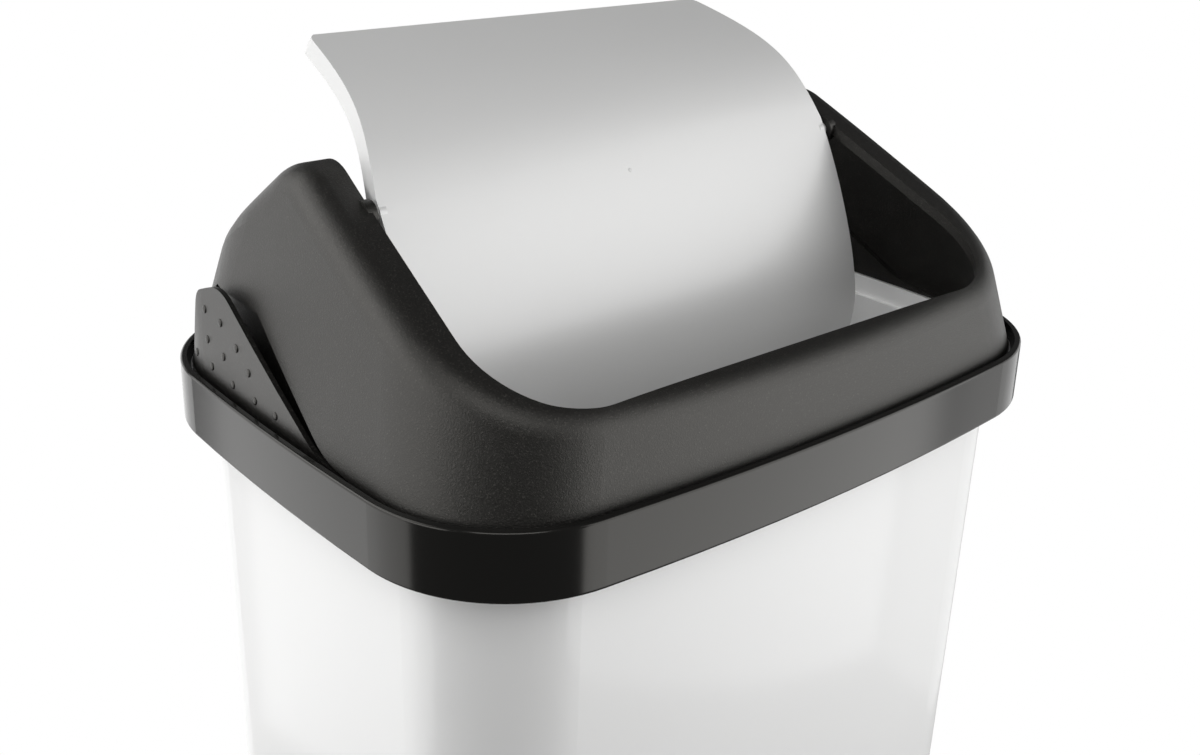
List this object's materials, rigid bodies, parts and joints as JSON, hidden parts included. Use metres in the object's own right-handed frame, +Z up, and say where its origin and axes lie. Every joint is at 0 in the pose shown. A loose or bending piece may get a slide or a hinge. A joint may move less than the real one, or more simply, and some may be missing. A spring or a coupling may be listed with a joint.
{
  "type": "swing-lid trash can",
  "caption": "Tall tapered bin with a dark rim band, a lift-off gabled hood and a curved flap that swings on two side pins.",
  "frame": {"origin": "on the floor under the centre of the bin", "axes": "+Z up, +X to the right along the flap's pin axis, -Y towards the front where the mouth opens"},
  "size_m": [0.34, 0.26, 0.5353],
  "materials": {
    "silver_body": "silver pearl plastic, semi-gloss",
    "gloss_graphite": "smooth glossy graphite plastic",
    "tab_graphite": "satin graphite plastic with raised grip dots",
    "textured_graphite": "fine spark-textured graphite plastic",
    "silver_flap": "silver satin plastic"
  },
  "bodies": {
    "bin": {"bin_body": "silver_body", "rim_collar": "gloss_graphite"},
    "ring": {"bag_ring": "tab_graphite"},
    "hood": {"hood": "textured_graphite"},
    "flap": {"flap": "silver_flap"}
  },
  "joints": [
    {"name": "ring_lift", "type": "slide", "parent": "bin", "child": "ring", "axis": [0, 0, 1], "range_m": [0, 0.15]},
    {"name": "hood_lift", "type": "slide", "parent": "ring", "child": "hood", "axis": [0, 0, 1], "range_m": [0, 0.15]},
    {"name": "flap_swing", "type": "hinge", "parent": "hood", "child": "flap", "pos_m": [0, -0.003, 0.4815], "axis": [1, 0, 0], "range_deg": [-46, 14]}
  ]
}
